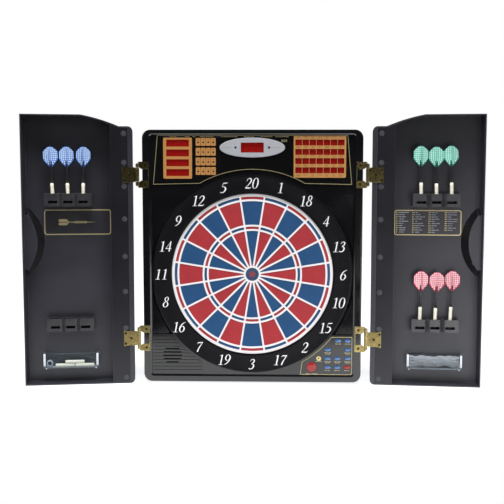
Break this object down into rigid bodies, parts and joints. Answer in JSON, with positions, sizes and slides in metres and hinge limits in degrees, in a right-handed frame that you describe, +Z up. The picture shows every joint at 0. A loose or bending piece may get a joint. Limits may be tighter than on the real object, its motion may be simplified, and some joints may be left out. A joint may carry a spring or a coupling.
{
  "type": "electronic dartboard",
  "caption": "Electronic soft-tip dartboard in a shallow wall unit with scoring display, keys and folding doors that carry darts, holders and tip trays.",
  "frame": {"origin": "centre of the unit's flat back face, on the wall", "axes": "+Z up, +X to the player's right, -Y out of the wall towards the player"},
  "size_m": [1.1096, 0.091, 0.658],
  "materials": {
    "rear_cover": "fine-grained black moulding",
    "front_housing": "fine-grained black moulding",
    "display_fascia": "satin black panel",
    "window_filters": "clear red tint",
    "match_bezel": "silver satin",
    "main_board": "green circuit board",
    "digit_modules": "grey digit blocks",
    "catch_ring": "fine-grained black moulding",
    "spider": "white web",
    "rubber_sheet": "black sheet",
    "sensor_sheet": "printed film",
    "backing_board": "fine-grained black moulding",
    "key_mat": "grey silicone",
    "key_board": "green circuit board",
    "headphone_jack": "brass nut and bush",
    "speaker": "black frame and cone",
    "power_jack": "black socket",
    "housing_screws": "dark zinc",
    "cabinet_hinge_leaves": "aged brass plating",
    "hinge_pins": "aged brass plating",
    "cabinet_hinge_screws": "aged brass plating",
    "door_left": "fine-grained black moulding",
    "hinge_rail_left": "fine-grained black moulding",
    "hinge_leaves_left": "aged brass plating",
    "door_screws_left": "aged brass plating",
    "dart_holders_left": "fine-grained black moulding",
    "tip_tray_left": "clear moulded plastic",
    "spare_barrels": "off-white",
    "door_right": "fine-grained black moulding",
    "hinge_rail_right": "fine-grained black moulding",
    "hinge_leaves_right": "aged brass plating",
    "door_screws_right": "aged brass plating",
    "dart_holders_right": "fine-grained black moulding",
    "tip_tray_right": "clear moulded plastic",
    "spare_tip_bag": "clear film bag",
    "double_segments": "red and blue segments",
    "outer_single_segments": "red and blue segments",
    "triple_segments": "red and blue segments",
    "inner_single_segments": "red and blue segments",
    "bull_segments": "red and blue segments",
    "sound_button": "blue key",
    "handicap_button": "blue key",
    "double_button": "blue key",
    "player_button": "blue key",
    "game_button": "blue key",
    "option_button": "blue key",
    "miss_button": "blue key",
    "undo_button": "blue key",
    "score_button": "blue key",
    "power_button": "red key",
    "start_button": "red key",
    "dart_blue_1": "flight colour, off-white barrel, black shaft",
    "dart_blue_2": "flight colour, off-white barrel, black shaft",
    "dart_blue_3": "flight colour, off-white barrel, black shaft",
    "dart_green_1": "flight colour, off-white barrel, black shaft",
    "dart_green_2": "flight colour, off-white barrel, black shaft",
    "dart_green_3": "flight colour, off-white barrel, black shaft",
    "dart_pink_1": "flight colour, off-white barrel, black shaft",
    "dart_pink_2": "flight colour, off-white barrel, black shaft",
    "dart_pink_3": "flight colour, off-white barrel, black shaft"
  },
  "bodies": {
    "cabinet": {"rear_cover": "rear_cover", "front_housing": "front_housing", "display_fascia": "display_fascia", "window_filters": "window_filters", "match_bezel": "match_bezel", "main_board": "main_board", "digit_modules": "digit_modules", "catch_ring": "catch_ring", "spider": "spider", "rubber_sheet": "rubber_sheet", "sensor_sheet": "sensor_sheet", "backing_board": "backing_board", "key_mat": "key_mat", "key_board": "key_board", "headphone_jack": "headphone_jack", "speaker": "speaker", "power_jack": "power_jack", "housing_screws": "housing_screws", "cabinet_hinge_leaves": "cabinet_hinge_leaves", "hinge_pins": "hinge_pins", "cabinet_hinge_screws": "cabinet_hinge_screws"},
    "left_door": {"door_left": "door_left", "hinge_rail_left": "hinge_rail_left", "hinge_leaves_left": "hinge_leaves_left", "door_screws_left": "door_screws_left", "dart_holders_left": "dart_holders_left", "tip_tray_left": "tip_tray_left", "spare_barrels": "spare_barrels"},
    "right_door": {"door_right": "door_right", "hinge_rail_right": "hinge_rail_right", "hinge_leaves_right": "hinge_leaves_right", "door_screws_right": "door_screws_right", "dart_holders_right": "dart_holders_right", "tip_tray_right": "tip_tray_right", "spare_tip_bag": "spare_tip_bag"},
    "double_segments": {"double_segments": "double_segments"},
    "outer_single_segments": {"outer_single_segments": "outer_single_segments"},
    "triple_segments": {"triple_segments": "triple_segments"},
    "inner_single_segments": {"inner_single_segments": "inner_single_segments"},
    "bull_segments": {"bull_segments": "bull_segments"},
    "sound_button": {"sound_button": "sound_button"},
    "handicap_button": {"handicap_button": "handicap_button"},
    "double_button": {"double_button": "double_button"},
    "player_button": {"player_button": "player_button"},
    "game_button": {"game_button": "game_button"},
    "option_button": {"option_button": "option_button"},
    "miss_button": {"miss_button": "miss_button"},
    "undo_button": {"undo_button": "undo_button"},
    "score_button": {"score_button": "score_button"},
    "power_button": {"power_button": "power_button"},
    "start_button": {"start_button": "start_button"},
    "dart_blue_1": {"dart_blue_1": "dart_blue_1"},
    "dart_blue_2": {"dart_blue_2": "dart_blue_2"},
    "dart_blue_3": {"dart_blue_3": "dart_blue_3"},
    "dart_green_1": {"dart_green_1": "dart_green_1"},
    "dart_green_2": {"dart_green_2": "dart_green_2"},
    "dart_green_3": {"dart_green_3": "dart_green_3"},
    "dart_pink_1": {"dart_pink_1": "dart_pink_1"},
    "dart_pink_2": {"dart_pink_2": "dart_pink_2"},
    "dart_pink_3": {"dart_pink_3": "dart_pink_3"}
  },
  "joints": [
    {"name": "left_door_hinge", "type": "hinge", "parent": "cabinet", "child": "left_door", "pos_m": [-0.278, -0.0518, 0], "axis": [0, 0, 1], "range_deg": [-8.5, 171.5]},
    {"name": "right_door_hinge", "type": "hinge", "parent": "cabinet", "child": "right_door", "pos_m": [0.278, -0.0518, 0], "axis": [0, 0, -1], "range_deg": [-4.9, 175.1]},
    {"name": "double_segments_press", "type": "slide", "parent": "cabinet", "child": "double_segments", "axis": [0, 1, 0], "range_m": [0, 0.0012], "stiffness_N_per_m": 800},
    {"name": "outer_single_segments_press", "type": "slide", "parent": "cabinet", "child": "outer_single_segments", "axis": [0, 1, 0], "range_m": [0, 0.0012], "stiffness_N_per_m": 800},
    {"name": "triple_segments_press", "type": "slide", "parent": "cabinet", "child": "triple_segments", "axis": [0, 1, 0], "range_m": [0, 0.0012], "stiffness_N_per_m": 800},
    {"name": "inner_single_segments_press", "type": "slide", "parent": "cabinet", "child": "inner_single_segments", "axis": [0, 1, 0], "range_m": [0, 0.0012], "stiffness_N_per_m": 800},
    {"name": "bull_segments_press", "type": "slide", "parent": "cabinet", "child": "bull_segments", "axis": [0, 1, 0], "range_m": [0, 0.0012], "stiffness_N_per_m": 800},
    {"name": "sound_button_press", "type": "slide", "parent": "cabinet", "child": "sound_button", "axis": [0, 1, 0], "range_m": [0, 0.0015], "stiffness_N_per_m": 300},
    {"name": "handicap_button_press", "type": "slide", "parent": "cabinet", "child": "handicap_button", "axis": [0, 1, 0], "range_m": [0, 0.0015], "stiffness_N_per_m": 300},
    {"name": "double_button_press", "type": "slide", "parent": "cabinet", "child": "double_button", "axis": [0, 1, 0], "range_m": [0, 0.0015], "stiffness_N_per_m": 300},
    {"name": "player_button_press", "type": "slide", "parent": "cabinet", "child": "player_button", "axis": [0, 1, 0], "range_m": [0, 0.0015], "stiffness_N_per_m": 300},
    {"name": "game_button_press", "type": "slide", "parent": "cabinet", "child": "game_button", "axis": [0, 1, 0], "range_m": [0, 0.0015], "stiffness_N_per_m": 300},
    {"name": "option_button_press", "type": "slide", "parent": "cabinet", "child": "option_button", "axis": [0, 1, 0], "range_m": [0, 0.0015], "stiffness_N_per_m": 300},
    {"name": "miss_button_press", "type": "slide", "parent": "cabinet", "child": "miss_button", "axis": [0, 1, 0], "range_m": [0, 0.0015], "stiffness_N_per_m": 300},
    {"name": "undo_button_press", "type": "slide", "parent": "cabinet", "child": "undo_button", "axis": [0, 1, 0], "range_m": [0, 0.0015], "stiffness_N_per_m": 300},
    {"name": "score_button_press", "type": "slide", "parent": "cabinet", "child": "score_button", "axis": [0, 1, 0], "range_m": [0, 0.0015], "stiffness_N_per_m": 300},
    {"name": "power_button_press", "type": "slide", "parent": "cabinet", "child": "power_button", "axis": [0, 1, 0], "range_m": [0, 0.0015], "stiffness_N_per_m": 300},
    {"name": "start_button_press", "type": "slide", "parent": "cabinet", "child": "start_button", "axis": [0, 1, 0], "range_m": [0, 0.0015], "stiffness_N_per_m": 300},
    {"name": "dart_blue_1_lift", "type": "slide", "parent": "left_door", "child": "dart_blue_1", "axis": [0, 0, 1], "range_m": [0, 0.06]},
    {"name": "dart_blue_2_lift", "type": "slide", "parent": "left_door", "child": "dart_blue_2", "axis": [0, 0, 1], "range_m": [0, 0.06]},
    {"name": "dart_blue_3_lift", "type": "slide", "parent": "left_door", "child": "dart_blue_3", "axis": [0, 0, 1], "range_m": [0, 0.06]},
    {"name": "dart_green_1_lift", "type": "slide", "parent": "right_door", "child": "dart_green_1", "axis": [0, 0, 1], "range_m": [0, 0.06]},
    {"name": "dart_green_2_lift", "type": "slide", "parent": "right_door", "child": "dart_green_2", "axis": [0, 0, 1], "range_m": [0, 0.06]},
    {"name": "dart_green_3_lift", "type": "slide", "parent": "right_door", "child": "dart_green_3", "axis": [0, 0, 1], "range_m": [0, 0.06]},
    {"name": "dart_pink_1_lift", "type": "slide", "parent": "right_door", "child": "dart_pink_1", "axis": [0, 0, 1], "range_m": [0, 0.06]},
    {"name": "dart_pink_2_lift", "type": "slide", "parent": "right_door", "child": "dart_pink_2", "axis": [0, 0, 1], "range_m": [0, 0.06]},
    {"name": "dart_pink_3_lift", "type": "slide", "parent": "right_door", "child": "dart_pink_3", "axis": [0, 0, 1], "range_m": [0, 0.06]}
  ]
}
